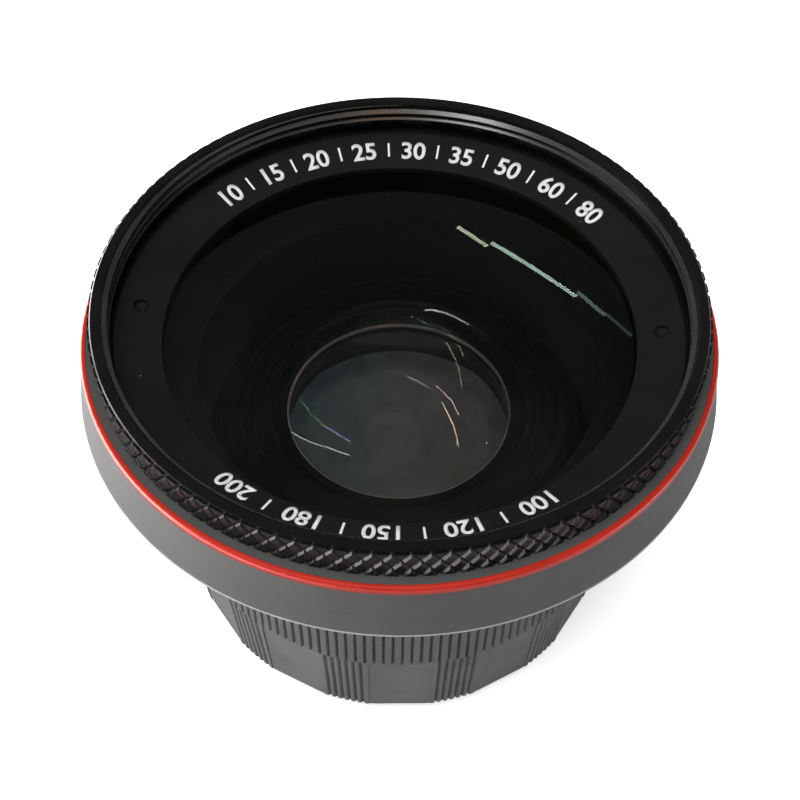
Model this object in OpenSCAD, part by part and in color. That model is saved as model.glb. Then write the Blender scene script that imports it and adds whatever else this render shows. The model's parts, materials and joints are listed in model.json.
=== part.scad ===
// Wide-angle conversion lens with a screw-off macro unit.
// It stands on its rear thread, with the optical axis along +Z and the front glass up.

/* [Front ring] */
// Radius of the filter thread wall, from which the other radii step out and in
filter_r = 26; // [24:0.5:30]
// Thickness of the rim between the filter thread and the knurl tips
rim_wall = 1.25; // [0.95:0.05:1.5]
// Drop from the rim to the name ring's outer edge
filter_drop = 3.4; // [3.2:0.1:4.2]
// Height of the undercut below the filter thread
undercut_h = 0.8; // [0.5:0.1:1.2]
// Depth of the undercut behind the filter thread
undercut_t = 0.3; // [0.2:0.02:0.34]
// Height of the knurled band
knurl_h = 3; // [2:0.1:3.1]
// Number of knurl points round the ring
knurl_count = 115; // [60:1:120]
// Number of knurl half rows in the band
knurl_rows = 3; // [2:1:4]
// Depth of the knurl grooves
knurl_depth = 0.26; // [0.16:0.02:0.44]
// Share of the pitch that the flat tip of a knurl point takes
knurl_tip = 0.64; // [0.3:0.02:0.8]

/* [Name ring] */
// Step in from the filter thread to the seat of the name ring
name_step = 0.4; // [0.3:0.05:0.6]
// Width of the name ring with its thread
name_ring_w = 4.1; // [3.6:0.1:5]
// Drop of the dished face from its outer to its inner edge
name_dish = 1.3; // [0.5:0.1:1.8]
// Thickness of the name ring at its inner lip
name_lip_t = 0.5; // [0.4:0.1:0.8]
// Distance from the clear opening to the circle of the two spanner holes
spanner_inset = 2.1; // [1.5:0.1:2.6]
// Radius of each spanner hole
spanner_r = 0.75; // [0.5:0.05:0.9]
// Depth of the straight part of each spanner hole
spanner_depth = 0.3; // [0.2:0.05:0.5]
// Angle of the cone that the drill leaves at the foot of a spanner hole
drill_angle = 118; // [90:1:140]
// Angle at which the name ring came to rest when it was screwed in
spanner_angle = -2.7; // [-45:0.1:45]

/* [Main housing] */
// Drop from the rim to the ledge round the front ring
ledge_drop = 3.3; // [3.2:0.1:4]
// Width of the ledge between the knurl tips and the edge of the head
ledge_w = 1.15; // [1:0.05:1.8]
// Height of the head from its lower edge to the ledge
head_h = 5.9; // [4.8:0.1:7]
// Flare of the head from the red ring to its lower edge
head_flare = 1; // [0.1:0.1:1.6]
// Width of the chamfer at the head's lower edge
head_chamfer = 0.35; // [0.2:0.05:0.6]
// Wall of the neck round the pocket of the front lens
neck_wall = 1.92; // [1.5:0.02:2.5]
// Fall of the sloping shoulder from the head to the neck
shoulder_h = 1.6; // [0.8:0.1:2.5]
// Height of the lens seat's underside above the neck's lower edge
seat_rise = 1.36; // [1:0.02:2]
// Thickness of the flange that carries the front lens
seat_t = 0.7; // [0.5:0.05:1]

/* [Red ring] */
// Height of the red ring
red_h = 0.65; // [0.5:0.05:1]
// Radial thickness of the red ring
red_t = 0.5; // [0.4:0.05:0.6]

/* [Front lens] */
// How far the name ring reaches over the edge of the front element
lens_overlap = 0.9; // [0.6:0.1:1.2]
// Width of the flat foot round the hollow
lens_foot_w = 3.9; // [3.2:0.1:4.6]
// Radius of curvature of the outer face
front_outer_curve = 200; // [150:10:400]
// Radius of curvature of the hollow inner face
front_inner_curve = 28; // [24:0.5:36]
// Thickness on the axis
front_lens_t = 2.2; // [1.8:0.1:2.8]
// Thickness of the gasket under the front element
gasket_t = 0.3; // [0.2:0.05:0.5]

/* [Rear sleeve] */
// Step in from the neck to the collar of the sleeve
collar_step = 0.9; // [0.5:0.1:1.5]
// Height of the plain collar above the ribs
collar_h = 2.85; // [2:0.05:4]
// Step in from the collar to the ribs
rib_step = 0.6; // [0.3:0.1:1]
// Height of the ribbed band
sleeve_rib_h = 8; // [6:0.5:10]
// Number of ribs round the sleeve
sleeve_ribs = 164; // [80:1:180]
// Depth of the grooves between the ribs
rib_depth = 0.3; // [0.15:0.05:0.45]
// Share of each pitch that the land of a rib takes
rib_land = 0.6; // [0.4:0.02:0.8]
// Distance from the ribs in to the crest of the joining thread
joint_inset = 2.95; // [2.4:0.05:3.5]
// Length of the joining thread
joint_thread_len = 3.8; // [2.5:0.1:4.8]

/* [Light baffle] */
// Distance from the clear opening of the macro lens out to the foot of the baffle
baffle_clear = 1.7; // [1.2:0.1:2.2]
// Number of steps in the light baffle
baffle_steps = 5; // [3:1:6]
// Height of each step
baffle_step_h = 1; // [0.8:0.05:1.2]
// Gap between the foot of the baffle and the macro unit's front face
baffle_gap = 0.51; // [0.3:0.01:1]

/* [Macro unit] */
// Height of the grip ring's lower edge above the foot, which is the length of the rear thread
grip_z = 2.7; // [2.5:0.1:4]
// Height of the grip ring up to its seam with the sleeve
grip_h = 10.3; // [8:0.1:12]
// How much wider the grip ring is at the seam than at its lower edge
grip_flare = 0.6; // [0.2:0.05:1.2]
// Number of flat panels round the grip ring
grip_flats = 13; // [8:1:16]
// Angle from the front to the nearest flat panel, with the macro unit screwed home
grip_angle = 1.3; // [-14:0.1:14]
// Share of the pitch that a flat panel takes
grip_flat_share = 0.56; // [0.5:0.01:0.6]
// Depth of a flat panel below its chord
grip_flat_inset = 0.12; // [0:0.02:0.3]
// Number of grooves between two flat panels
grip_grooves = 6; // [4:1:7]
// Step in from the crest of the joining thread to the lens tube
tube_step = 1.3; // [0.9:0.1:1.8]
// Wall of the lens tube round the pocket of the macro elements
tube_wall = 4.17; // [3.5:0.01:5]
// Step out from the pocket of the macro elements to the rear opening
rear_step = 1.92; // [1.5:0.02:2.2]
// Wall between the rear opening and the crest of the rear thread
rear_wall = 2.1; // [1.8:0.1:2.6]
// Radial depth of the male threads, from the crest to the root
thread_depth = 0.45; // [0.3:0.05:0.6]
// Thickness of the lip in front of the macro lens
macro_lip_t = 0.8; // [0.6:0.1:1.2]
// Width of the lip that holds the macro lens
macro_lip_w = 1.1; // [0.9:0.1:1.5]
// Number of grooves turned into the front face
face_grooves = 4; // [2:1:5]

/* [Macro lenses] */
// Radius of curvature of the front element's front face
front_element_curve = 46; // [36:1:80]
// Radius of curvature of the front element's back face
front_element_back = 150; // [100:10:300]
// Edge thickness of the front element
front_element_edge_t = 2; // [1.6:0.1:2.6]
// Radius of curvature of the rear element's front face
rear_element_curve = 60; // [50:1:90]
// Radius of curvature of the rear element's hollow back face
rear_element_back = 110; // [100:5:150]
// Edge thickness of the rear element
rear_element_edge_t = 1.8; // [1.5:0.1:2.4]
// Height of the spacer ring between the elements
spacer_h = 4.2; // [3.8:0.1:5]
// Height of the slotted retaining ring
retainer_h = 2; // [1.6:0.1:2.4]
// Width of the two spanner slots in the retaining ring
slot_w = 1.4; // [0.8:0.1:2]

/* [Fits] */
// Radial clearance of parts that are screwed or pressed together
fit_gap = 0.05; // [0.03:0.01:0.08]
// Clearance of glass in its pocket
glass_gap = 0.08; // [0.05:0.01:0.12]
// Clearance between a lens face and the edge that it rests on
face_gap = 0.02; // [0.01:0.01:0.04]

/* [Hidden] */
$fn = 96;

// Small edge break on turned parts
edge_break = 0.2;
// Larger chamfer where a part is led into a thread or a bore
lead_break = 0.4;
// How far a cutting shape reaches past the faces it cuts
over = 0.5;
// How far two shapes of one piece run into each other
lap = 0.15;
// Direction of the front of the lens, towards -Y
front_side = -90;

// Depth of a spherical face of curvature c at the radius r
function sag(c, r) = c - sqrt(c * c - r * r);

function reversed(points) = [for (i = [len(points) - 1:-1:0]) points[i]];

// Radii of the head, stepping out from the filter thread
front_ring_r = filter_r + rim_wall;
spigot_step = 0.3;
front_spigot_r = front_ring_r - spigot_step;
knurl_root_r = front_ring_r - knurl_depth;
undercut_r = filter_r + undercut_t;
head_top_r = front_ring_r + ledge_w;
head_r = head_top_r + head_flare;
red_rebate = 0.45;
red_inner_r = head_top_r - red_rebate;

// Radii of the front glass and its seat, stepping in from the filter thread
name_seat_r = filter_r - name_step;
name_open_r = name_seat_r - name_ring_w;
spanner_circle_r = name_open_r + spanner_inset;
front_lens_r = name_open_r + lens_overlap;
lens_pocket_r = front_lens_r + glass_gap;
front_hollow_r = front_lens_r - lens_foot_w;
seat_margin = 0.1;
seat_open_r = front_hollow_r + seat_margin;

// Radii of the neck and the sleeve, whose spigot enters the neck under the lens seat
neck_r = lens_pocket_r + neck_wall;
collar_r = neck_r - collar_step;
sleeve_r = collar_r - rib_step;
joint_thread_r = sleeve_r - joint_inset;
joint_root_r = joint_thread_r - thread_depth;
joint_bore_r = joint_thread_r + fit_gap;
joint_step = 0.8;
sleeve_bore_r = joint_bore_r - joint_step;
seat_cover = 2;
sleeve_spigot_r = seat_open_r + seat_cover;
spigot_wall = 1.2;
flange_r = sleeve_spigot_r - spigot_wall;
baffle_ledge_w = 0.6;
baffle_ledge_r = flange_r - baffle_ledge_w;
baffle_set_back = 0.4;
baffle_top_r = seat_open_r - baffle_set_back;
baffle_wall = 0.9;

// Radii of the macro unit, stepping in from the joining thread and out again to the rear thread
macro_tube_r = joint_thread_r - tube_step;
macro_pocket_r = macro_tube_r - tube_wall;
macro_lens_r = macro_pocket_r - glass_gap;
macro_open_r = macro_lens_r - macro_lip_w;
baffle_foot_r = macro_open_r + baffle_clear;
rear_open_r = macro_pocket_r + rear_step;
rear_thread_r = rear_open_r + rear_wall;
rear_root_r = rear_thread_r - thread_depth;
grip_top_r = sleeve_r - fit_gap;
grip_foot_r = grip_top_r - grip_flare;

// Levels from the foot of the rear thread up to the rim
seam_z = grip_z + grip_h;
sleeve_foot_z = seam_z + fit_gap;
joint_top_z = seam_z + joint_thread_len;
rib_top_z = sleeve_foot_z + sleeve_rib_h;
rib_run_out = 0.5;
collar_foot_z = rib_top_z + rib_run_out;
neck_z = collar_foot_z + collar_h;
seat_foot_z = neck_z + seat_rise;
lens_seat_z = seat_foot_z + seat_t;
lens_foot_z = lens_seat_z + gasket_t;
hollow_vertex_z = lens_foot_z + sag(front_inner_curve, front_hollow_r);
lens_vertex_z = hollow_vertex_z + front_lens_t;
name_foot_z = lens_vertex_z - sag(front_outer_curve, name_open_r) + face_gap;
name_inner_z = name_foot_z + name_lip_t;
name_outer_z = name_inner_z + name_dish;
undercut_top_z = name_outer_z + undercut_h;
rim_z = name_outer_z + filter_drop;
ledge_z = rim_z - ledge_drop;
knurl_z = ledge_z + fit_gap;
red_foot_z = ledge_z - red_h;
head_z = ledge_z - head_h;

// The baffle hangs from its flange in the spigot
sleeve_top_z = seat_foot_z - fit_gap;
flange_lift = 0.1;
flange_foot_z = neck_z + flange_lift;
baffle_ledge_t = 1.5;
baffle_foot_z = sleeve_top_z - baffle_steps * baffle_step_h;

// The macro elements are stacked on each other's edges, under the lip of their housing
macro_top_z = baffle_foot_z - baffle_gap;
lip_under_z = macro_top_z - macro_lip_t;
function edge_drop(c) = sag(c, macro_lens_r) - sag(c, macro_open_r);
front_element_top_z = lip_under_z - edge_drop(front_element_curve) - face_gap;
front_element_foot_z = front_element_top_z - front_element_edge_t;
spacer_top_z = front_element_foot_z - edge_drop(front_element_back) - face_gap;
spacer_foot_z = spacer_top_z - spacer_h;
rear_element_top_z = spacer_foot_z - edge_drop(rear_element_curve) - face_gap;
rear_element_foot_z = rear_element_top_z - rear_element_edge_t;
retainer_top_z = rear_element_foot_z - face_gap;
retainer_foot_z = retainer_top_z - retainer_h;
pocket_run_out = 0.4;
macro_pocket_foot_z = retainer_foot_z - pocket_run_out;
bore_cone_h = 1.5;

// The grip ring widens from its lower edge to the seam
grip_slope = atan(grip_flare / grip_h);
grip_pitch = 360 / grip_flats;
flat_angle = grip_pitch * grip_flat_share;
groove_angle = (grip_pitch - flat_angle) / (grip_grooves + 1);
grip_groove_w = rib_depth * 1.5;
face_groove_h = 0.3;

// Colours of the finishes
black = "#1c1c1e";
dark_grey = "#4a494a";
body_grey = "#5b5c5e";
glass_green = "#2c3a38";
clear_glass = "#8fa3a8";
accent_red = "#c8260f";

// A ring turned about the axis from its half section
module turned(section) {
  rotate_extrude() polygon(section);
}

// A point on the knurl, at the column j, the row i and the radius r
function knurl_point(j, i, r) =
  let (a = 180 * j / knurl_count)
  [r * cos(a), r * sin(a), knurl_z + knurl_h * min(max(i / knurl_rows, 0), 1)];

// Diamond knurl with flat tips, as a band that closes round the front ring.
// Points and groove crossings take turns along each row and up each column.
// Each place in the grid owns four vertices, the left, lower, right and upper corner of its tip,
// which fall together at a groove crossing. The inner wall has one vertex for each column.
module knurl_band(inner_r) {
  columns = 2 * knurl_count;
  rows = knurl_rows;
  corners = [[-1, 0], [0, -1], [1, 0], [0, 1]];
  function is_tip(j, i) = (i + j) % 2 == 0;
  function at(j, i, k) = 4 * (i * columns + (j % columns)) + (is_tip(j, i) ? k : 0);
  function inner(j, top) = 4 * columns * (rows + 1) + 2 * (j % columns) + top;
  points = [
    for (i = [0:rows], j = [0:columns - 1], k = [0:3])
      is_tip(j, i)
        ? knurl_point(j + knurl_tip * corners[k][0], i + knurl_tip * corners[k][1], front_ring_r)
        : knurl_point(j, i, knurl_root_r)
  ];
  inner_points = [for (j = [0:columns - 1], top = [0, 1]) knurl_point(j, top * rows, inner_r)];
  tips = [
    for (i = [0:rows], j = [0:columns - 1]) if (is_tip(j, i))
      concat([at(j, i, 0)], i > 0 ? [at(j, i, 1)] : [], [at(j, i, 2)], i < rows ? [at(j, i, 3)] : [])
  ];
  rising = [
    for (i = [0:rows - 1], j = [0:columns - 1]) if (is_tip(j, i))
      each [
        [at(j, i, 3), at(j, i, 2), at(j + 1, i, 0), at(j, i + 1, 0)],
        [at(j + 1, i + 1, 1), at(j + 1, i + 1, 0), at(j, i + 1, 0), at(j + 1, i, 0)]
      ]
  ];
  falling = [
    for (i = [0:rows - 1], j = [0:columns - 1]) if (!is_tip(j, i))
      each [
        [at(j + 1, i, 0), at(j + 1, i, 3), at(j + 1, i + 1, 0), at(j, i, 0)],
        [at(j, i + 1, 2), at(j, i + 1, 1), at(j, i, 0), at(j + 1, i + 1, 0)]
      ]
  ];
  foot = [
    for (j = [0:columns - 1]) if (is_tip(j + 1, 0))
      [at(j, 0, 0), at(j + 1, 0, 0), at(j + 1, 0, 2), at(j + 2, 0, 0),
        inner(j + 2, 0), inner(j + 1, 0), inner(j, 0)]
  ];
  head = [
    for (j = [0:columns - 1]) if (is_tip(j + 1, rows))
      [inner(j, 1), inner(j + 1, 1), inner(j + 2, 1),
        at(j + 2, rows, 0), at(j + 1, rows, 2), at(j + 1, rows, 0), at(j, rows, 0)]
  ];
  wall = [
    for (j = [0:columns - 1]) [inner(j, 0), inner(j + 1, 0), inner(j + 1, 1), inner(j, 1)]
  ];
  polyhedron(concat(points, inner_points), concat(tips, rising, falling, foot, head, wall));
}

// Filter thread ring with the knurled grip
module front_ring() {
  core_r = knurl_root_r - fit_gap;
  core_top_z = knurl_z + knurl_h - fit_gap;
  outer_r = front_ring_r - edge_break;
  color(black) union() {
    turned([
      [name_seat_r, name_foot_z], [front_spigot_r, name_foot_z],
      [front_spigot_r, knurl_z], [core_r, knurl_z],
      [core_r, core_top_z], [outer_r, core_top_z],
      [outer_r, rim_z - edge_break / 2], [outer_r - edge_break / 2, rim_z],
      [filter_r + edge_break, rim_z], [filter_r, rim_z - edge_break],
      [filter_r, undercut_top_z], [undercut_r, undercut_top_z - edge_break],
      [undercut_r, name_outer_z], [name_seat_r, name_outer_z]
    ]);
    knurl_band(core_r - lap);
  }
}

// Dished retaining ring with two spanner holes
module name_ring() {
  outer_r = name_seat_r - fit_gap;
  face_slope = atan(name_dish / (outer_r - name_open_r));
  face_z = name_inner_z + spanner_inset * tan(face_slope);
  cone_h = spanner_r / tan(drill_angle / 2);
  color(black) difference() {
    turned([
      [name_open_r, name_foot_z], [outer_r, name_foot_z],
      [outer_r, name_outer_z], [name_open_r, name_inner_z]
    ]);
    for (turn = [0, 180]) rotate([0, 0, spanner_angle + turn])
      translate([spanner_circle_r, 0, face_z - spanner_depth]) {
        cylinder(h = spanner_depth + over, r = spanner_r, $fn = 32);
        translate([0, 0, -cone_h]) cylinder(h = cone_h, r1 = 0, r2 = spanner_r, $fn = 32);
      }
  }
}

// A ball whose top is at the height z, fine enough for a lens face
module ball_below(r, z) {
  translate([0, 0, z - r]) sphere(r = r, $fn = 240);
}

// A ball whose lowest point is at the height z
module ball_above(r, z) {
  translate([0, 0, z + r]) sphere(r = r, $fn = 240);
}

// Outer negative element, nearly flat outside and hollow inside
module front_lens() {
  color(glass_green, 0.5) difference() {
    intersection() {
      translate([0, 0, lens_foot_z]) cylinder(h = lens_vertex_z - lens_foot_z + over, r = front_lens_r);
      ball_below(front_outer_curve, lens_vertex_z);
    }
    intersection() {
      ball_below(front_inner_curve, hollow_vertex_z);
      translate([0, 0, lens_foot_z - over]) cylinder(h = front_inner_curve, r = front_hollow_r);
    }
  }
}

// Thin gasket under the edge of the front element
module front_lens_gasket() {
  color(black) difference() {
    translate([0, 0, lens_seat_z]) cylinder(h = gasket_t, r = front_lens_r);
    translate([0, 0, lens_seat_z - over]) cylinder(h = gasket_t + 2 * over, r = seat_open_r);
  }
}

// Flared head and neck in one piece, with the pocket and seat of the front element
module main_housing() {
  color(body_grey) turned([
    [seat_open_r, seat_foot_z], [sleeve_spigot_r + fit_gap, seat_foot_z],
    [sleeve_spigot_r + fit_gap, neck_z], [neck_r - lead_break, neck_z],
    [neck_r, neck_z + lead_break], [neck_r, head_z - shoulder_h],
    [head_r - head_chamfer, head_z], [head_r, head_z + head_chamfer],
    [head_top_r, red_foot_z], [red_inner_r, red_foot_z],
    [red_inner_r, ledge_z], [front_spigot_r + fit_gap, ledge_z],
    [front_spigot_r + fit_gap, name_foot_z], [lens_pocket_r, name_foot_z],
    [lens_pocket_r, lens_seat_z], [seat_open_r, lens_seat_z]
  ]);
}

// Accent ring in the rebate round the ledge, rounded on its outer corner
module red_ring() {
  round_r = min(red_t, red_h) * 0.8;
  inner_r = red_inner_r + fit_gap / 2;
  outer_r = inner_r + red_t;
  foot_z = red_foot_z + fit_gap / 2;
  top_z = ledge_z + fit_gap;
  color(accent_red) turned(concat(
    [[inner_r, foot_z], [outer_r, foot_z]],
    [for (a = [0:15:90]) [outer_r - round_r + round_r * cos(a), top_z - round_r + round_r * sin(a)]],
    [[inner_r, top_z]]
  ));
}

// Flat lands and narrow grooves round the ribbed band, as its outline
function ribbed_outline() = [
  for (i = [0:sleeve_ribs - 1], side = [0, 1, 2])
    let (
      share = [0, rib_land, (1 + rib_land) / 2][side],
      a = 360 * (i + share) / sleeve_ribs,
      r = side == 2 ? sleeve_r - rib_depth : sleeve_r
    )
    [r * cos(a), r * sin(a)]
];

// Ribbed sleeve with a collar, a spigot into the neck and the female joining thread
module rear_sleeve() {
  color(dark_grey) difference() {
    union() {
      translate([0, 0, sleeve_foot_z]) linear_extrude(sleeve_rib_h) polygon(ribbed_outline());
      turned([
        [0, sleeve_foot_z + over], [sleeve_r - rib_depth - edge_break, sleeve_foot_z + over],
        [sleeve_r - rib_depth - edge_break, collar_foot_z], [collar_r, collar_foot_z],
        [collar_r, neck_z - edge_break], [collar_r - edge_break, neck_z],
        [sleeve_spigot_r, neck_z], [sleeve_spigot_r, sleeve_top_z], [0, sleeve_top_z]
      ]);
    }
    turned([
      [0, sleeve_foot_z - over], [joint_bore_r + edge_break, sleeve_foot_z - over],
      [joint_bore_r + edge_break, sleeve_foot_z], [joint_bore_r, sleeve_foot_z + edge_break],
      [joint_bore_r, joint_top_z + over], [sleeve_bore_r, joint_top_z + over],
      [sleeve_bore_r, flange_foot_z - baffle_ledge_t], [baffle_ledge_r, flange_foot_z - baffle_ledge_t],
      [baffle_ledge_r, flange_foot_z], [flange_r, flange_foot_z],
      [flange_r, sleeve_top_z + over], [0, sleeve_top_z + over]
    ]);
  }
}

// Stepped funnel that keeps stray light off the macro lens
module light_baffle() {
  step_w = (baffle_top_r - baffle_foot_r) / (baffle_steps - 1);
  steps = [
    for (i = [0:baffle_steps - 1], side = [0, 1])
      [baffle_foot_r + i * step_w, baffle_foot_z + (i + side) * baffle_step_h]
  ];
  outer_top_r = baffle_ledge_r - fit_gap;
  color(black) turned(concat(
    [[baffle_foot_r + baffle_wall, baffle_foot_z], [outer_top_r, flange_foot_z - baffle_wall],
      [outer_top_r, flange_foot_z + fit_gap], [flange_r - fit_gap, flange_foot_z + fit_gap],
      [flange_r - fit_gap, sleeve_top_z]],
    reversed(steps)
  ));
}

// One groove of the grip, along the sloping side of the grip ring
module grip_groove() {
  translate([grip_foot_r, 0, grip_z]) rotate([0, grip_slope, 0]) translate([0, 0, -over])
    linear_extrude(grip_h + 2 * over)
      polygon([[-rib_depth, 0], [rib_depth, -grip_groove_w], [rib_depth, grip_groove_w]]);
}

// One flat panel of the grip, cut along the chord between its two edges
module grip_flat() {
  chord_r = grip_foot_r * cos(flat_angle / 2) - grip_flat_inset;
  chord_w = 2 * grip_top_r * sin(flat_angle / 2);
  translate([chord_r, -chord_w / 2, grip_z]) rotate([0, grip_slope, 0]) translate([0, 0, -over])
    cube([grip_top_r, chord_w, grip_h + 2 * over]);
}

// Grip ring, lens tube and the root walls of the rear and joining threads, turned in one piece
module macro_housing() {
  color(dark_grey) difference() {
    turned([
      [rear_open_r, 0], [rear_root_r - edge_break, 0], [rear_root_r, edge_break], [rear_root_r, grip_z],
      [grip_foot_r - edge_break, grip_z], [grip_foot_r, grip_z + edge_break],
      [grip_top_r, seam_z], [joint_root_r, seam_z], [joint_root_r, joint_top_z - edge_break],
      [joint_root_r - edge_break, joint_top_z], [macro_tube_r, joint_top_z],
      [macro_tube_r, macro_top_z - edge_break], [macro_tube_r - edge_break, macro_top_z],
      [macro_open_r + edge_break, macro_top_z], [macro_open_r, macro_top_z - edge_break],
      [macro_open_r, lip_under_z], [macro_pocket_r, lip_under_z],
      [macro_pocket_r, macro_pocket_foot_z], [rear_open_r, macro_pocket_foot_z - bore_cone_h]
    ]);
    for (i = [0:grip_flats - 1]) rotate([0, 0, front_side + grip_angle + i * grip_pitch]) {
      grip_flat();
      for (k = [1:grip_grooves]) rotate([0, 0, flat_angle / 2 + k * groove_angle]) grip_groove();
    }
    face_pitch = (macro_tube_r - macro_open_r) / (face_grooves + 1);
    for (k = [1:face_grooves]) {
      r = macro_open_r + k * face_pitch;
      turned([
        [r - edge_break, macro_top_z + over], [r - edge_break, macro_top_z - face_groove_h],
        [r + edge_break, macro_top_z - face_groove_h], [r + edge_break, macro_top_z + over]
      ]);
    }
  }
}

// Front element of the macro unit, convex on both faces
module macro_front_element() {
  vertex_z = front_element_top_z + sag(front_element_curve, macro_lens_r);
  back_z = front_element_foot_z - sag(front_element_back, macro_lens_r);
  color(clear_glass, 0.5) intersection() {
    translate([0, 0, back_z - over]) cylinder(h = vertex_z - back_z + 2 * over, r = macro_lens_r);
    ball_below(front_element_curve, vertex_z);
    ball_above(front_element_back, back_z);
  }
}

// Ring that keeps the two macro elements apart
module macro_spacer() {
  color(black) difference() {
    translate([0, 0, spacer_foot_z]) cylinder(h = spacer_h, r = macro_lens_r);
    translate([0, 0, spacer_foot_z - over]) cylinder(h = spacer_h + 2 * over, r = macro_open_r);
  }
}

// Rear element of the macro unit, hollow towards the camera
module macro_rear_element() {
  vertex_z = rear_element_top_z + sag(rear_element_curve, macro_lens_r);
  hollow_z = rear_element_foot_z + sag(rear_element_back, macro_lens_r);
  color(clear_glass, 0.5) difference() {
    intersection() {
      translate([0, 0, rear_element_foot_z])
        cylinder(h = vertex_z - rear_element_foot_z + over, r = macro_lens_r);
      ball_below(rear_element_curve, vertex_z);
    }
    ball_below(rear_element_back, hollow_z);
  }
}

// Threaded ring behind the rear element, with two spanner slots
module macro_retaining_ring() {
  color(black) difference() {
    translate([0, 0, retainer_foot_z]) cylinder(h = retainer_h, r = macro_pocket_r - fit_gap);
    translate([0, 0, retainer_foot_z - over]) cylinder(h = retainer_h + 2 * over, r = macro_open_r);
    translate([-macro_lens_r - over, -slot_w / 2, retainer_foot_z - over])
      cube([2 * (macro_lens_r + over), slot_w, over + retainer_h / 2]);
  }
}

front_ring();
name_ring();
front_lens();
front_lens_gasket();
main_housing();
red_ring();
rear_sleeve();
light_baffle();
macro_housing();
macro_front_element();
macro_spacer();
macro_rear_element();
macro_retaining_ring();
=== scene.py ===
import json
import math

import bmesh
import bpy
from mathutils import Matrix, Vector

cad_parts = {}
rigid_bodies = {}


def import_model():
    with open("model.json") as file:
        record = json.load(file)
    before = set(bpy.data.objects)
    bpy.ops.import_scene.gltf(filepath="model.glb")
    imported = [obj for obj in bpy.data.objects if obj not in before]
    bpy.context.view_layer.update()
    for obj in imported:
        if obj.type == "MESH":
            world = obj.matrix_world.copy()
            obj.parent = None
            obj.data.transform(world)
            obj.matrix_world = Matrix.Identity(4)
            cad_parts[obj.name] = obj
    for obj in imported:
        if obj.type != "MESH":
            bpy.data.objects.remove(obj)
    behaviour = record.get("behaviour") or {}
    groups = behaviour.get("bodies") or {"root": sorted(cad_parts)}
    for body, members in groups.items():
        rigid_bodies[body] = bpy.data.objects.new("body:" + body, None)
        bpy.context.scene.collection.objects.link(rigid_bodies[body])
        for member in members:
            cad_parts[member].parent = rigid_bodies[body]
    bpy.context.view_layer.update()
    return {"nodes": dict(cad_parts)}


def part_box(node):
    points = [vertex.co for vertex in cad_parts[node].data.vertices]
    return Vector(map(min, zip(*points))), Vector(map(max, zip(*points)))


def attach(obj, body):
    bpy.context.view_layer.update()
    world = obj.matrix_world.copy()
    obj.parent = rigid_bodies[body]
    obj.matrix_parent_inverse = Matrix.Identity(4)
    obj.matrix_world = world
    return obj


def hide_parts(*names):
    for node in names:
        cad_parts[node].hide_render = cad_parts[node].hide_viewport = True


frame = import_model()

nodes = frame["nodes"]
mm = 0.001
threadPitch = 0.75
wideBody = "wide_unit"
macroBody = "macro_unit"
scene = bpy.context.scene


# Small helpers for node trees

def link(tree, source, target):
    tree.links.new(source, target)


def addNode(tree, kind, **values):
    node = tree.nodes.new(kind)
    for name, value in values.items():
        setattr(node, name, value)
    return node


def setInputs(node, **values):
    for name, value in values.items():
        node.inputs[name.replace("_", " ")].default_value = value


# A value is a plain number or another node's output; Geometry Nodes trees use this node too
def mathNode(tree, operation, *values):
    node = addNode(tree, "ShaderNodeMath", operation=operation)
    for socket, value in zip(node.inputs, values):
        if isinstance(value, (int, float)):
            socket.default_value = value
        else:
            link(tree, value, socket)
    return node.outputs[0]


def mapRange(tree, value, low, high, lowOut=0.0, highOut=1.0, smooth=True):
    node = addNode(tree, "ShaderNodeMapRange", interpolation_type="SMOOTHSTEP" if smooth else "LINEAR")
    link(tree, value, node.inputs["Value"])
    setInputs(node, From_Min=low, From_Max=high, To_Min=lowOut, To_Max=highOut)
    return node.outputs["Result"]


def mixColour(tree, factor, first, second):
    node = addNode(tree, "ShaderNodeMix", data_type="RGBA")
    for value, socket in ((factor, node.inputs[0]), (first, node.inputs[6]), (second, node.inputs[7])):
        if isinstance(value, (int, float, tuple)):
            socket.default_value = value
        else:
            link(tree, value, socket)
    return node.outputs[2]


def grey(value, tint=(1.0, 1.0, 1.0)):
    return (value * tint[0], value * tint[1], value * tint[2], 1.0)


def newGroup(name, inputs, outputs):
    group = bpy.data.node_groups.new(name, "ShaderNodeTree")
    for label, kind, value in inputs:
        socket = group.interface.new_socket(label, in_out="INPUT", socket_type=kind)
        if value is not None:
            socket.default_value = value
    for label, kind in outputs:
        group.interface.new_socket(label, in_out="OUTPUT", socket_type=kind)
    return group, addNode(group, "NodeGroupInput"), addNode(group, "NodeGroupOutput")


# Distance from the optical axis and height, in millimetres, from the object's own coordinates
def makeLatheCoords():
    group, _, out = newGroup("latheCoords", [], [
        ("Radius", "NodeSocketFloat"), ("Height", "NodeSocketFloat"), ("Angle", "NodeSocketFloat"),
        ("Place", "NodeSocketVector")])
    coords = addNode(group, "ShaderNodeTexCoord")
    scaled = addNode(group, "ShaderNodeVectorMath", operation="SCALE")
    link(group, coords.outputs["Object"], scaled.inputs[0])
    scaled.inputs["Scale"].default_value = 1 / mm
    parts = addNode(group, "ShaderNodeSeparateXYZ")
    link(group, scaled.outputs[0], parts.inputs[0])
    x, y, z = parts.outputs
    squares = mathNode(group, "ADD", mathNode(group, "MULTIPLY", x, x), mathNode(group, "MULTIPLY", y, y))
    link(group, mathNode(group, "SQRT", squares), out.inputs["Radius"])
    link(group, z, out.inputs["Height"])
    link(group, mathNode(group, "ARCTAN2", y, x), out.inputs["Angle"])
    link(group, scaled.outputs[0], out.inputs["Place"])
    return group


latheCoords = makeLatheCoords()


def useGroup(tree, group, **values):
    node = addNode(tree, "ShaderNodeGroup", node_tree=group)
    for name, value in values.items():
        socket = node.inputs[name.replace("_", " ")]
        if isinstance(value, (int, float, tuple)):
            socket.default_value = value
        else:
            link(tree, value, socket)
    return node


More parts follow.
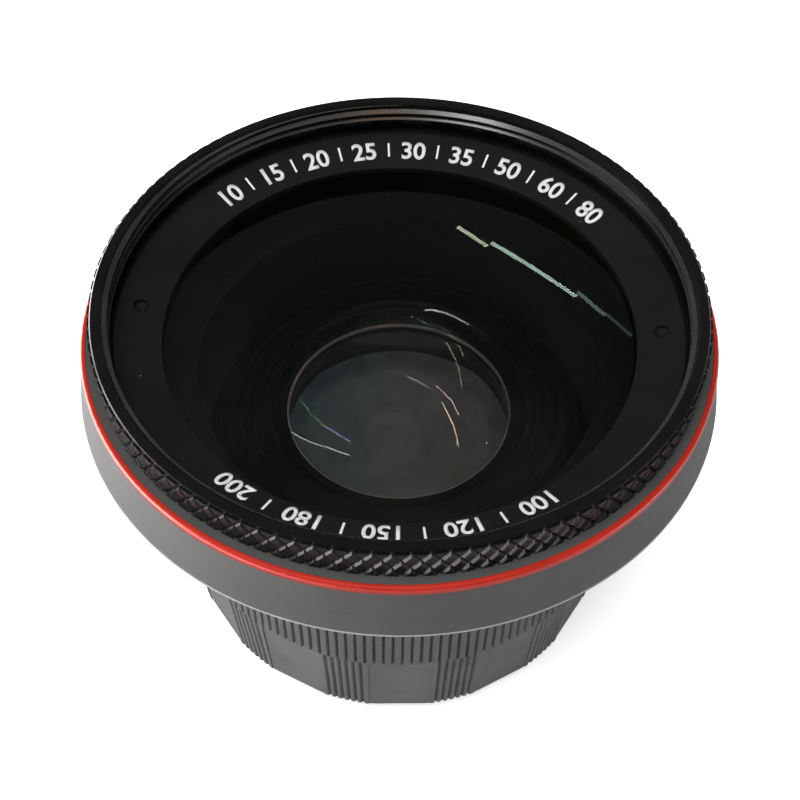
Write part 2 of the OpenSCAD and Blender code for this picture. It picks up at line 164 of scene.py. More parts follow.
# Fine circular lines that a lathe leaves, as a height between 0 and 1
def makeTurningLines():
    perRadian = 0.6
    group, inp, out = newGroup("turningLines", [("Lines per mm", "NodeSocketFloat", 6.0)],
                               [("Height", "NodeSocketFloat"), ("Streaks", "NodeSocketFloat")])
    place = useGroup(group, latheCoords)
    across = addNode(group, "ShaderNodeCombineXYZ")
    link(group, mathNode(group, "MULTIPLY", place.outputs["Radius"], inp.outputs[0]), across.inputs[0])
    link(group, mathNode(group, "MULTIPLY", place.outputs["Height"], inp.outputs[0]), across.inputs[1])
    link(group, mathNode(group, "MULTIPLY", place.outputs["Angle"], perRadian), across.inputs[2])
    noise = addNode(group, "ShaderNodeTexNoise")
    setInputs(noise, Scale=1.0, Detail=3.0, Roughness=0.6)
    link(group, across.outputs[0], noise.inputs["Vector"])
    link(group, noise.outputs["Fac"], out.inputs["Height"])
    link(group, mapRange(group, noise.outputs["Fac"], 0.35, 0.7), out.inputs["Streaks"])
    return group


# Fine even grain of blasted or painted metal
def makeGrain():
    group, inp, out = newGroup("grain", [("Grains per mm", "NodeSocketFloat", 8.0)],
                               [("Height", "NodeSocketFloat"), ("Patches", "NodeSocketFloat")])
    place = useGroup(group, latheCoords)
    fine = addNode(group, "ShaderNodeTexNoise")
    setInputs(fine, Detail=4.0, Roughness=0.65)
    link(group, place.outputs["Place"], fine.inputs["Vector"])
    link(group, inp.outputs[0], fine.inputs["Scale"])
    wide = addNode(group, "ShaderNodeTexNoise")
    setInputs(wide, Scale=0.22, Detail=2.0, Roughness=0.5)
    link(group, place.outputs["Place"], wide.inputs["Vector"])
    link(group, fine.outputs["Fac"], out.inputs["Height"])
    link(group, mapRange(group, wide.outputs["Fac"], 0.3, 0.7), out.inputs["Patches"])
    return group


# Sparse specks of dust, as a mask
def makeDust():
    group, inp, out = newGroup("dust", [
        ("Cells per mm", "NodeSocketFloat", 0.8), ("Share", "NodeSocketFloat", 0.1),
        ("Speck size", "NodeSocketFloat", 0.06)], [("Mask", "NodeSocketFloat")])
    place = useGroup(group, latheCoords)
    cells = addNode(group, "ShaderNodeTexVoronoi", feature="F1")
    link(group, place.outputs["Place"], cells.inputs["Vector"])
    link(group, inp.outputs["Cells per mm"], cells.inputs["Scale"])
    size = mathNode(group, "MULTIPLY", inp.outputs["Speck size"], inp.outputs["Cells per mm"])
    near = mathNode(group, "LESS_THAN", cells.outputs["Distance"], size)
    pick = addNode(group, "ShaderNodeSeparateColor")
    link(group, cells.outputs["Color"], pick.inputs[0])
    chosen = mathNode(group, "LESS_THAN", pick.outputs[0], inp.outputs["Share"])
    link(group, mathNode(group, "MULTIPLY", near, chosen), out.inputs["Mask"])
    return group


# Turns of a fine thread in a bore, as a height between 0 and 1 near one radius and between two heights
def makeThreadRelief():
    wallBand = 0.08
    group, inp, out = newGroup("threadRelief", [
        ("Radius", "NodeSocketFloat", 20.0), ("Foot", "NodeSocketFloat", 0.0),
        ("Top", "NodeSocketFloat", 1.0)], [("Height", "NodeSocketFloat")])
    place = useGroup(group, latheCoords)
    turn = mathNode(group, "MULTIPLY", place.outputs["Angle"], 1 / (2 * math.pi))
    rise = mathNode(group, "MULTIPLY", place.outputs["Height"], 1 / threadPitch)
    wave = mathNode(group, "PINGPONG", mathNode(group, "SUBTRACT", rise, turn), 0.5)
    off = mathNode(group, "SUBTRACT", place.outputs["Radius"], inp.outputs["Radius"])
    near = mathNode(group, "LESS_THAN", mathNode(group, "ABSOLUTE", off), wallBand)
    above = mathNode(group, "GREATER_THAN", place.outputs["Height"], inp.outputs["Foot"])
    below = mathNode(group, "LESS_THAN", place.outputs["Height"], inp.outputs["Top"])
    mask = mathNode(group, "MULTIPLY", near, mathNode(group, "MULTIPLY", above, below))
    ridge = mathNode(group, "MULTIPLY", wave, 2.0)
    link(group, mathNode(group, "MULTIPLY", ridge, mask), out.inputs["Height"])
    return group


turningLines = makeTurningLines()
grain = makeGrain()
dust = makeDust()
threadRelief = makeThreadRelief()


def newMaterial(name):
    material = bpy.data.materials.new(name)
    material.use_nodes = True
    tree = material.node_tree
    tree.nodes.clear()
    shader = addNode(tree, "ShaderNodeBsdfPrincipled")
    output = addNode(tree, "ShaderNodeOutputMaterial")
    link(tree, shader.outputs[0], output.inputs["Surface"])
    return material, tree, shader


# What all the metals share: how much lighter the streaks are, the spread of the roughness, the dust, the
# paint inside the tube, the blend of the painted highlights at the lip and the bottom edge, and how far the
# reliefs reach in millimetres
metalShared = {"streakTone": 1.6, "smoother": 0.04, "rougher": 0.05, "dustShare": 0.8, "dustTone": 0.6,
               "paintTone": 0.006, "paintRougher": 0.3, "paintEdge": 0.05, "lipEdge": 0.04, "edgeHighlightBlend": 0.02,
               "bumpReach": 0.02, "threadReach": 0.3}


# Turned and finished metal: a base colour with faint patches, turning lines, grain and dust.
# look["inside"] is a radius in millimetres: what lies nearer the axis is painted matt black, apart from a
# painted highlight, a light grey ring at the opening of the lip that stands for its lit outline. The other
# painted highlight is a lighter stripe outside a radius and below a height, for the floor mirrored in a
# chamfer.
def turnedMetal(name, look):
    shared = metalShared
    material, tree, shader = newMaterial(name)
    lines = useGroup(tree, turningLines, Lines_per_mm=look["lines"])
    grains = useGroup(tree, grain, Grains_per_mm=look["grains"])
    place = useGroup(tree, latheCoords)
    low = grey(look["tone"] * (1 - look["variation"]), look["tint"])
    high = grey(look["tone"] * (1 + look["variation"]), look["tint"])
    colour = mixColour(tree, grains.outputs["Patches"], low, high)
    streak = mathNode(tree, "MULTIPLY", lines.outputs["Streaks"], look["streak"])
    colour = mixColour(tree, streak, colour, grey(look["tone"] * shared["streakTone"], look["tint"]))
    roughness = mapRange(tree, grains.outputs["Height"], 0.3, 0.7, look["rough"] - shared["smoother"],
                         look["rough"] + shared["rougher"])
    if "specks" in look:
        specks = useGroup(tree, dust, Cells_per_mm=look["specks"][0], Share=look["specks"][1],
                          Speck_size=look["specks"][2])
        dusty = mathNode(tree, "MULTIPLY", specks.outputs[0], shared["dustShare"])
        colour = mixColour(tree, dusty, colour, grey(shared["dustTone"]))
    if "inside" in look:
        inside = mapRange(tree, place.outputs["Radius"], look["inside"], look["inside"] + shared["paintEdge"],
                          1.0, 0.0)
        colour = mixColour(tree, inside, colour, grey(shared["paintTone"]))
        # painted highlight: a light grey ring nearer the axis than the lip radius, at the opening, stands for
        # the lit outline of the lip
        if "lip" in look:
            lipRadius, lipTone = look["lip"]
            lip = mapRange(tree, place.outputs["Radius"], lipRadius, lipRadius + shared["lipEdge"], 1.0, 0.0)
            colour = mixColour(tree, lip, colour, grey(lipTone))
        shift = mathNode(tree, "MULTIPLY", inside, shared["paintRougher"])
        roughness = mathNode(tree, "ADD", roughness, shift)
        metal = mapRange(tree, inside, 0.0, 1.0, look["metal"], 0.0)
        link(tree, metal, shader.inputs["Metallic"])
    else:
        shader.inputs["Metallic"].default_value = look["metal"]
    # painted highlight: a lighter stripe outside a radius and below a height, on the chamfer of the bottom
    # edge, stands for the white floor mirrored there
    if "edgeHighlight" in look:
        outsideRadius, belowHeight, edgeHighlightTone = look["edgeHighlight"]
        outer = mathNode(tree, "GREATER_THAN", place.outputs["Radius"], outsideRadius)
        edge = mapRange(tree, place.outputs["Height"], belowHeight, belowHeight + shared["edgeHighlightBlend"], 1.0, 0.0)
        colour = mixColour(tree, mathNode(tree, "MULTIPLY", outer, edge), colour, grey(edgeHighlightTone))
    link(tree, colour, shader.inputs["Base Color"])
    link(tree, roughness, shader.inputs["Roughness"])
    shader.inputs["Specular IOR Level"].default_value = look.get("specular", 0.5)
    height = mathNode(tree, "ADD", mathNode(tree, "MULTIPLY", lines.outputs["Height"], look["lineDepth"]),
                      mathNode(tree, "MULTIPLY", grains.outputs["Height"], look["grainDepth"]))
    bump = addNode(tree, "ShaderNodeBump")
    setInputs(bump, Strength=look["bump"], Distance=shared["bumpReach"] * mm)
    link(tree, height, bump.inputs["Height"])
    if "thread" in look:
        wall, foot, top = look["thread"]
        turns = useGroup(tree, threadRelief, Radius=wall, Foot=foot, Top=top)
        cut = addNode(tree, "ShaderNodeBump")
        setInputs(cut, Strength=1.0, Distance=shared["threadReach"] * mm)
        link(tree, turns.outputs[0], cut.inputs["Height"])
        link(tree, bump.outputs[0], cut.inputs["Normal"])
        bump = cut
    link(tree, bump.outputs[0], shader.inputs["Normal"])
    return material


metalLooks = {
    "black_anodised": {
        "tone": 0.005, "tint": (1.0, 1.0, 1.02), "variation": 0.2, "metal": 0.0, "rough": 0.26, "lines": 7.0,
        "grains": 9.0, "streak": 0.2, "lineDepth": 0.7, "grainDepth": 0.25, "bump": 0.35, "specular": 0.2,
        "specks": (1.1, 0.05, 0.05)},
    # painted light: the filter thread, cut in the black anodised front ring, gets a lighter and glossier copy
    # of that finish so that its turns show lit
    "thread_black_painted_light": {
        "tone": 0.012, "tint": (1.0, 0.99, 0.98), "variation": 0.2, "metal": 0.0, "rough": 0.22, "lines": 7.0,
        "grains": 9.0, "streak": 0.2, "lineDepth": 0.5, "grainDepth": 0.3, "bump": 0.3},
    "satin_black": {
        "tone": 0.007, "tint": (1.0, 0.99, 1.02), "variation": 0.12, "metal": 0.0, "rough": 0.42,
        "lines": 5.0, "grains": 11.0, "streak": 0.12, "lineDepth": 0.35, "grainDepth": 0.6, "bump": 0.3,
        "specular": 0.35, "specks": (0.8, 0.05, 0.045)},
    # the gunmetal has a painted highlight on the chamfer of its bottom edge
    "gunmetal": {
        "tone": 0.076, "tint": (1.0, 0.99, 0.985), "variation": 0.06, "metal": 0.2, "rough": 0.5,
        "lines": 5.0, "grains": 10.0, "streak": 0.12, "lineDepth": 0.25, "grainDepth": 0.5, "bump": 0.3,
        "specular": 0.35, "inside": 23.5, "edgeHighlight": (28.9, 31.34, 0.36)},
    "dark_grip_sleeve": {
        "tone": 0.14, "tint": (1.0, 0.99, 0.985), "variation": 0.1, "metal": 0.25, "rough": 0.46,
        "lines": 5.0, "grains": 9.0, "streak": 0.15, "lineDepth": 0.3, "grainDepth": 0.6, "bump": 0.35,
        "inside": 20.8, "thread": (20.0, 13.25, 16.8)},
    # the macro housing has a painted highlight at the opening of its lip
    "dark_grip_macro": {
        "tone": 0.165, "tint": (1.0, 0.99, 0.985), "variation": 0.1, "metal": 0.25, "rough": 0.46,
        "lines": 5.0, "grains": 9.0, "streak": 0.15, "lineDepth": 0.3, "grainDepth": 0.6, "bump": 0.35,
        "inside": 20.6, "lip": (13.36, 0.6)},
    "matt_black": {
        "tone": 0.008, "tint": (1.0, 1.0, 1.0), "variation": 0.2, "metal": 0.0, "rough": 0.7, "lines": 4.0,
        "grains": 8.0, "streak": 0.3, "lineDepth": 0.6, "grainDepth": 0.4, "bump": 0.5},
    "tube_grey": {
        "tone": 0.06, "tint": (1.0, 0.97, 0.94), "variation": 0.25, "metal": 0.0, "rough": 0.6, "lines": 3.0,
        "grains": 8.0, "streak": 0.3, "lineDepth": 0.6, "grainDepth": 0.4, "bump": 0.5},
}
metals = {name: turnedMetal(name + "_finish", look) for name, look in metalLooks.items()}


# Red enamel of the accent ring
redLook = {"colour": (0.44, 0.018, 0.006, 1.0), "dark": (0.32, 0.010, 0.004, 1.0), "darkShare": 0.35,
           "rough": 0.34, "metal": 0.15, "coat": 0.25, "coatRough": 0.2, "bump": 0.25}


def redEnamel(look):
    material, tree, shader = newMaterial("red_accent_finish")
    grains = useGroup(tree, grain, Grains_per_mm=7.0)
    lines = useGroup(tree, turningLines, Lines_per_mm=5.0)
    colour = mixColour(tree, grains.outputs["Patches"], look["colour"], look["dark"])
    link(tree, mixColour(tree, look["darkShare"], look["colour"], colour), shader.inputs["Base Color"])
    link(tree, mapRange(tree, grains.outputs["Height"], 0.3, 0.7, look["rough"], look["rough"] + 0.1),
         shader.inputs["Roughness"])
    setInputs(shader, Metallic=look["metal"], Coat_Weight=look["coat"], Coat_Roughness=look["coatRough"])
    bump = addNode(tree, "ShaderNodeBump")
    setInputs(bump, Strength=look["bump"], Distance=metalShared["bumpReach"] * mm)
    link(tree, lines.outputs["Height"], bump.inputs["Height"])
    link(tree, bump.outputs[0], shader.inputs["Normal"])
    return material


def gasketRubber():
    material, tree, shader = newMaterial("gasket_rubber_finish")
    grains = useGroup(tree, grain, Grains_per_mm=6.0)
    colour = mixColour(tree, grains.outputs["Patches"], grey(0.008), grey(0.014))
    link(tree, colour, shader.inputs["Base Color"])
    link(tree, mapRange(tree, grains.outputs["Height"], 0.3, 0.7, 0.7, 0.9), shader.inputs["Roughness"])
    return material


# Coated glass: the specular tint stands for the coating, which lowers the reflection and colours it. The
# glint of the dust stands for the light that the front glass throws on it.
def coatedGlass(name, look):
    material, tree, shader = newMaterial(name)
    setInputs(shader, IOR=look["ior"], Specular_Tint=look["tint"], Emission_Color=grey(1.0))
    cells, share, speckSize = look["dust"]
    mask = useGroup(tree, dust, Cells_per_mm=cells, Share=share, Speck_size=speckSize).outputs[0]
    roughness = mapRange(tree, mask, 0.0, 1.0, 0.0, look["dustRough"], smooth=False)
    link(tree, roughness, shader.inputs["Roughness"])
    link(tree, mathNode(tree, "SUBTRACT", 1.0, mask), shader.inputs["Transmission Weight"])
    link(tree, mixColour(tree, mask, look["body"], grey(look["dustTone"])), shader.inputs["Base Color"])
    link(tree, mathNode(tree, "MULTIPLY", mask, look["glint"]), shader.inputs["Emission Strength"])
    return material


frontGlassLook = {"body": (0.93, 0.98, 0.96, 1.0), "ior": 1.52, "tint": (0.17, 0.30, 0.22, 1.0),
                  "dust": (0.35, 0.2, 0.035), "dustRough": 0.5, "dustTone": 0.8, "glint": 0.0}
macroGlassLook = {"body": (0.97, 0.98, 0.98, 1.0), "ior": 1.52, "tint": (1.0, 1.0, 0.88, 1.0),
                  "dust": (0.4, 0.10, 0.09), "dustRough": 0.5, "dustTone": 0.8, "glint": 0.6}

frontGlassMaterial = coatedGlass("coated_glass_finish", frontGlassLook)
macroGlassMaterial = coatedGlass("macro_glass_finish", macroGlassLook)


def whitePrint():
    material, tree, shader = newMaterial("white_print_finish")
    grains = useGroup(tree, grain, Grains_per_mm=14.0)
    link(tree, mixColour(tree, grains.outputs["Height"], grey(0.55), grey(0.8)), shader.inputs["Base Color"])
    shader.inputs["Roughness"].default_value = 0.5
    return material


slotFinish = {"front_ring": metals["black_anodised"], "name_ring": metals["satin_black"],
              "main_housing": metals["gunmetal"], "rear_sleeve": metals["dark_grip_sleeve"],
              "macro_housing": metals["dark_grip_macro"], "light_baffle": metals["matt_black"],
              "macro_spacer": metals["tube_grey"], "macro_retaining_ring": metals["tube_grey"],
              "red_ring": redEnamel(redLook), "front_lens_gasket": gasketRubber(),
              "front_lens": frontGlassMaterial, "macro_front_element": macroGlassMaterial,
              "macro_rear_element": macroGlassMaterial}
for nodeName, finish in slotFinish.items():
    for slot in nodes[nodeName].material_slots:
        slot.material = finish
print("materials made:", len(bpy.data.materials))


# Mesh helpers

def addObject(name, mesh, materials):
    piece = bpy.data.objects.new(name, mesh)
    scene.collection.objects.link(piece)
    for material in materials:
        mesh.materials.append(material)
    return piece


# Turns an outline of (radius, height) points in millimetres about the optical axis.
# Each point may carry a third value: True keeps the corner there sharp. paint gives each stretch's material.
def turnedMesh(name, outline, segments, paint):
    mesh = bmesh.new()
    rings = []
    for point in outline:
        radius, height = point[0] * mm, point[1] * mm
        if radius < 1e-9:
            rings.append([mesh.verts.new((0, 0, height))])
            continue
        rings.append([mesh.verts.new((radius * math.cos(2 * math.pi * k / segments),
                                      radius * math.sin(2 * math.pi * k / segments), height))
                      for k in range(segments)])
    for index in range(len(rings) - 1):
        first, second = rings[index], rings[index + 1]
        for k in range(segments):
            after = (k + 1) % segments
            corners = [first[k % len(first)], first[after % len(first)],
                       second[after % len(second)], second[k % len(second)]]
            unique = list(dict.fromkeys(corners))
            face = mesh.faces.new(unique)
            face.smooth = True
            face.material_index = paint[index]
    bmesh.ops.recalc_face_normals(mesh, faces=mesh.faces)
    for index, point in enumerate(outline):
        if len(point) > 2 and point[2] and len(rings[index]) > 1:
            ring = rings[index]
            for k in range(segments):
                edge = mesh.edges.get((ring[k], ring[(k + 1) % segments]))
                edge.smooth = False
    data = bpy.data.meshes.new(name)
    mesh.to_mesh(data)
    mesh.free()
    return data


def sag(curve, radius):
    return curve - math.sqrt(curve * curve - radius * radius)


# Points along a lens face from one radius to another; the sign of curve says which way it bulges
def facePoints(vertexZ, curve, radii):
    direction = 1 if curve > 0 else -1
    return [(radius, vertexZ - direction * sag(abs(curve), radius)) for radius in radii]


def radiiBetween(start, end, count):
    return [start + (end - start) * k / count for k in range(count + 1)]


def flatPanel(name, left, right, front, back):
    data = bpy.data.meshes.new(name)
    corners = [(left, front, 0), (right, front, 0), (right, back, 0), (left, back, 0)]
    data.from_pydata(corners, [], [(0, 1, 2, 3)])
    return data


edgePaint = metals["matt_black"]
lensSegments = 320


# Front element: a nearly flat outer face, a painted edge and foot, and a hollow back.
frontGlass = {"node": "front_lens", "outerCurve": 200.0, "hollowCurve": 28.0, "hollowRadius": 18.5,
              "thick": 2.2, "bevel": 0.15, "outerRings": 36, "hollowRings": 96}


def makeFrontGlass(size):
    low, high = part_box(size["node"])
    edge = high.x / mm
    top = high.z / mm
    foot = low.z / mm
    bevel = size["bevel"]
    outer = facePoints(top, size["outerCurve"], radiiBetween(0, edge - bevel, size["outerRings"]))
    hollowTop = top - size["thick"]
    hollow = facePoints(hollowTop, size["hollowCurve"],
                        radiiBetween(size["hollowRadius"], 0, size["hollowRings"]))
    rim = [(edge, outer[-1][1] - bevel, True), (edge, foot, True)]
    outer[-1] = (*outer[-1], True)
    hollow[0] = (hollow[0][0], foot, True)
    outline = outer + rim + hollow
    paint = [0] * (len(outer) - 1) + [0, 1, 1] + [0] * (len(hollow) - 1)
    data = turnedMesh("frontGlass", outline, lensSegments, paint)
    piece = addObject("frontGlass", data, [frontGlassMaterial, edgePaint])
    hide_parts(size["node"])
    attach(piece, wideBody)
    return piece


# Macro elements, one convex on both faces and one hollow behind, with painted edges
macroElements = [
    {"name": "macroFrontGlass", "node": "macro_front_element", "front": 46.0, "back": -150.0, "rings": 64},
    {"name": "macroRearGlass", "node": "macro_rear_element", "front": 60.0, "back": 110.0, "rings": 64},
]


def makeMacroGlass(size):
    low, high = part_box(size["node"])
    edge = high.x / mm
    foot = low.z / mm
    radii = radiiBetween(0, edge, size["rings"])
    front = facePoints(high.z / mm, size["front"], radii)
    backVertex = foot if size["back"] < 0 else foot + sag(size["back"], edge)
    back = facePoints(backVertex, size["back"], radii)[::-1]
    front[-1] = (*front[-1], True)
    back[0] = (*back[0], True)
    outline = front + back
    paint = [0] * (len(front) - 1) + [1] + [0] * (len(back) - 1)
    data = turnedMesh(size["name"], outline, lensSegments, paint)
    piece = addObject(size["name"], data, [macroGlassMaterial, edgePaint])
    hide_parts(size["node"])
    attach(piece, macroBody)
    return piece


makeFrontGlass(frontGlass)
for macroElement in macroElements:
    makeMacroGlass(macroElement)
print("glass made")


# Thread turns: a helix with a pointed section that stands out of a plain wall, by Geometry Nodes. The root and
# crest are shares of the pitch, the sunk foot is one of the depth, and the ridge has its full size a twelfth
# of the way along.
threadForm = {"steps": 180, "root": 0.44, "crest": 0.07, "sunk": -0.05, "fade": 12.0, "tip": 0.04}


def makeThreadTree(form):
    tree = bpy.data.node_groups.new("threadTurns", "GeometryNodeTree")
    tree.interface.new_socket("Geometry", in_out="OUTPUT", socket_type="NodeSocketGeometry")
    for label in ("Wall Radius", "Depth", "Pitch", "Turns", "Start Height"):
        tree.interface.new_socket(label, in_out="INPUT", socket_type="NodeSocketFloat")
    tree.interface.new_socket("Finish", in_out="INPUT", socket_type="NodeSocketMaterial")
    inp = addNode(tree, "NodeGroupInput")
    out = addNode(tree, "NodeGroupOutput")
    spiral = addNode(tree, "GeometryNodeCurveSpiral")
    spiral.inputs["Resolution"].default_value = form["steps"]
    link(tree, inp.outputs["Turns"], spiral.inputs["Rotations"])
    link(tree, inp.outputs["Wall Radius"], spiral.inputs["Start Radius"])
    link(tree, inp.outputs["Wall Radius"], spiral.inputs["End Radius"])
    rise = mathNode(tree, "MULTIPLY", inp.outputs["Turns"], inp.outputs["Pitch"])
    link(tree, rise, spiral.inputs["Height"])
    lift = addNode(tree, "ShaderNodeCombineXYZ")
    link(tree, inp.outputs["Start Height"], lift.inputs[2])
    moved = addNode(tree, "GeometryNodeTransform")
    link(tree, spiral.outputs[0], moved.inputs["Geometry"])
    link(tree, lift.outputs[0], moved.inputs["Translation"])
    upright = addNode(tree, "GeometryNodeSetCurveNormal", mode="Z_UP")
    link(tree, moved.outputs[0], upright.inputs[0])
    # the ridge fades in and out over the first and last part of the helix
    along = addNode(tree, "GeometryNodeSplineParameter")
    left = mathNode(tree, "SUBTRACT", 1.0, along.outputs["Factor"])
    nearEnd = mathNode(tree, "MINIMUM", along.outputs["Factor"], left)
    grown = mathNode(tree, "ADD", mathNode(tree, "MULTIPLY", nearEnd, form["fade"]), form["tip"])
    fade = mathNode(tree, "MINIMUM", grown, 1.0)
    # pointed section with a narrow flat crest
    quad = addNode(tree, "GeometryNodeCurvePrimitiveQuadrilateral", mode="POINTS")
    depth = inp.outputs["Depth"]
    root = mathNode(tree, "MULTIPLY", inp.outputs["Pitch"], form["root"])
    crest = mathNode(tree, "MULTIPLY", inp.outputs["Pitch"], form["crest"])
    sunk = mathNode(tree, "MULTIPLY", depth, form["sunk"])
    farCrest = mathNode(tree, "MULTIPLY", crest, -1.0)
    farRoot = mathNode(tree, "MULTIPLY", root, -1.0)
    for index, (side, reach) in enumerate(((root, sunk), (crest, depth), (farCrest, depth), (farRoot, sunk))):
        point = addNode(tree, "ShaderNodeCombineXYZ")
        link(tree, reach, point.inputs[0])
        link(tree, side, point.inputs[1])
        link(tree, point.outputs[0], quad.inputs[f"Point {index + 1}"])
    sweep = addNode(tree, "GeometryNodeCurveToMesh")
    sweep.inputs["Fill Caps"].default_value = True
    link(tree, upright.outputs[0], sweep.inputs["Curve"])
    link(tree, fade, sweep.inputs["Scale"])
    link(tree, quad.outputs[0], sweep.inputs["Profile Curve"])
    real = addNode(tree, "GeometryNodeRealizeInstances")
    link(tree, sweep.outputs[0], real.inputs[0])
    finish = addNode(tree, "GeometryNodeSetMaterial")
    link(tree, real.outputs[0], finish.inputs["Geometry"])
    link(tree, inp.outputs["Finish"], finish.inputs["Material"])
    link(tree, finish.outputs[0], out.inputs["Geometry"])
    return tree


threadTree = makeThreadTree(threadForm)


def growFromNodes(name, tree, values):
    carrier = bpy.data.objects.new(name, bpy.data.meshes.new(name + "Start"))
    scene.collection.objects.link(carrier)
    modifier = carrier.modifiers.new("grow", "NODES")
    modifier.node_group = tree
    sockets = {item.name: item.identifier for item in tree.interface.items_tree if item.in_out == "INPUT"}
    for label, value in values.items():
        modifier[sockets[label]] = value
    bpy.context.view_layer.update()
    grown = carrier.evaluated_get(bpy.context.evaluated_depsgraph_get())
    data = bpy.data.meshes.new_from_object(grown)
    carrier.modifiers.remove(modifier)
    carrier.data = data
    data.name = name
    return carrier


# A positive depth points towards the axis. The start is the height of the first turn's middle.
sharpAngle = 0.4
threads = {
    "filterThread": {"wall": 26.0, "depth": 0.38, "turns": 2.75, "start": 37.62, "body": wideBody,
                     "finish": metals["thread_black_painted_light"], "slot": "black_anodised"},
    "rearThread": {"wall": 18.05, "depth": -0.45, "turns": 2.9, "start": 0.42, "body": macroBody,
                   "finish": metals["satin_black"], "slot": "dark_grip"},
    "joiningThread": {"wall": 19.5, "depth": -0.43, "turns": 3.8, "start": 13.42, "body": macroBody,
                      "finish": metals["satin_black"], "slot": "dark_grip"},
}


def makeThread(name, size):
    piece = growFromNodes(name, threadTree, {
        "Wall Radius": size["wall"] * mm, "Depth": size["depth"] * mm, "Pitch": threadPitch * mm,
        "Turns": size["turns"], "Start Height": size["start"] * mm, "Finish": size["finish"]})
    mesh = bmesh.new()
    mesh.from_mesh(piece.data)
    bmesh.ops.recalc_face_normals(mesh, faces=mesh.faces)
    for face in mesh.faces:
        face.smooth = True
    for edge in mesh.edges:
        edge.smooth = edge.calc_face_angle(0.0) < sharpAngle
    mesh.to_mesh(piece.data)
    mesh.free()
    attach(piece, size["body"])
    print(name, "faces", len(piece.data.polygons))
    return piece


for threadName, threadSize in threads.items():
    makeThread(threadName, threadSize)


# White figures and ticks printed on the dished face of the name ring, both arcs reading clockwise
printing = {"lift": 0.012, "thick": 0.012, "tickShare": 0.8, "tickWide": 0.2, "turn": -2.7,
            "capShare": 0.73, "bolder": 0.03,
            "upper": {"radius": 23.55, "height": 1.9, "middle": 90.0, "span": 98.0,
                      "figures": (10, 15, 20, 25, 30, 35, 50, 60, 80)},
            "lower": {"radius": 22.75, "height": 1.7, "middle": -90.0, "span": 66.0,
                      "figures": (100, 120, 150, 180, 200)}}
nameRing = {"node": "name_ring", "openRadius": 21.5, "outerRadius": 25.55, "dish": 1.3}


def nameFace(radius):
    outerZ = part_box(nameRing["node"])[1].z / mm
    slope = nameRing["dish"] / (nameRing["outerRadius"] - nameRing["openRadius"])
    return outerZ - nameRing["dish"] + (radius - nameRing["openRadius"]) * slope


def figureMesh(text, height):
    curve = bpy.data.curves.new("figure", "FONT")
    curve.body = text
    curve.size = height / printing["capShare"]
    curve.offset = printing["bolder"] * height
    curve.resolution_u = 6
    curve.align_x = "CENTER"
    holder = bpy.data.objects.new("figure", curve)
    scene.collection.objects.link(holder)
    bpy.context.view_layer.update()
    depsgraph = bpy.context.evaluated_depsgraph_get()
    data = bpy.data.meshes.new_from_object(holder.evaluated_get(depsgraph))
    bpy.data.objects.remove(holder)
    return data


# Bends a flat mark, drawn in millimetres about its own foot, round the ring at an angle in degrees
def bendMark(mesh, data, arc, angle):
    base = arc["radius"] - arc["height"] / 2
    start = len(mesh.verts)
    mesh.from_mesh(data)
    mesh.verts.ensure_lookup_table()
    for vert in mesh.verts[start:]:
        across, along = vert.co.x, vert.co.y
        radius = base + along
        turn = math.radians(angle + printing["turn"]) - across / arc["radius"]
        height = nameFace(radius) + printing["lift"]
        vert.co = Vector((radius * math.cos(turn), radius * math.sin(turn), height)) * mm


def tickMesh(height):
    half = printing["tickWide"] / 2
    length = height * printing["tickShare"]
    foot = (height - length) / 2
    return flatPanel("tick", -half, half, foot, foot + length)


def makePrinting():
    mesh = bmesh.new()
    for arc in (printing["upper"], printing["lower"]):
        figures = arc["figures"]
        step = arc["span"] / (len(figures) - 1)
        for index, figure in enumerate(figures):
            angle = arc["middle"] + arc["span"] / 2 - index * step
            bendMark(mesh, figureMesh(str(figure), arc["height"]), arc, angle)
            if index < len(figures) - 1:
                bendMark(mesh, tickMesh(arc["height"]), arc, angle - step / 2)
    solid = bmesh.ops.extrude_face_region(mesh, geom=mesh.faces[:])
    raised = [item for item in solid["geom"] if isinstance(item, bmesh.types.BMVert)]
    for vert in raised:
        vert.co.z += printing["thick"] * mm
    bmesh.ops.recalc_face_normals(mesh, faces=mesh.faces)
    data = bpy.data.meshes.new("printedMarks")
    mesh.to_mesh(data)
    mesh.free()
    piece = addObject("printedMarks", data, [whitePrint()])
    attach(piece, wideBody)
    print("printedMarks faces", len(data.polygons))
    return piece


makePrinting()


# The floor is white to the camera and darker to everything else, apart from the stretch on its left that the
# walls of the knurl mirror. A soft shadow of the part lies on it. From below it is clear, so that the rear
# thread can be looked at.
# Places are in millimetres. "lit" is where the left stretch starts, where it is full, and its glow; "gloss" is
# the same for the ground around the part.
floorLook = {"size": 3.0, "white": 0.9, "dark": 0.4, "glow": 0.52, "underRadius": 17.0,
             "under": (0.012, 0.026), "lit": (-60.0, -150.0, 12.0), "gloss": (50.0, 80.0, 0.6),
             "left": (0.6, 0.92, 1.0, 1.0), "right": (1.0, 0.95, 0.86, 1.0), "leftToRight": (-9.0, 1.0)}


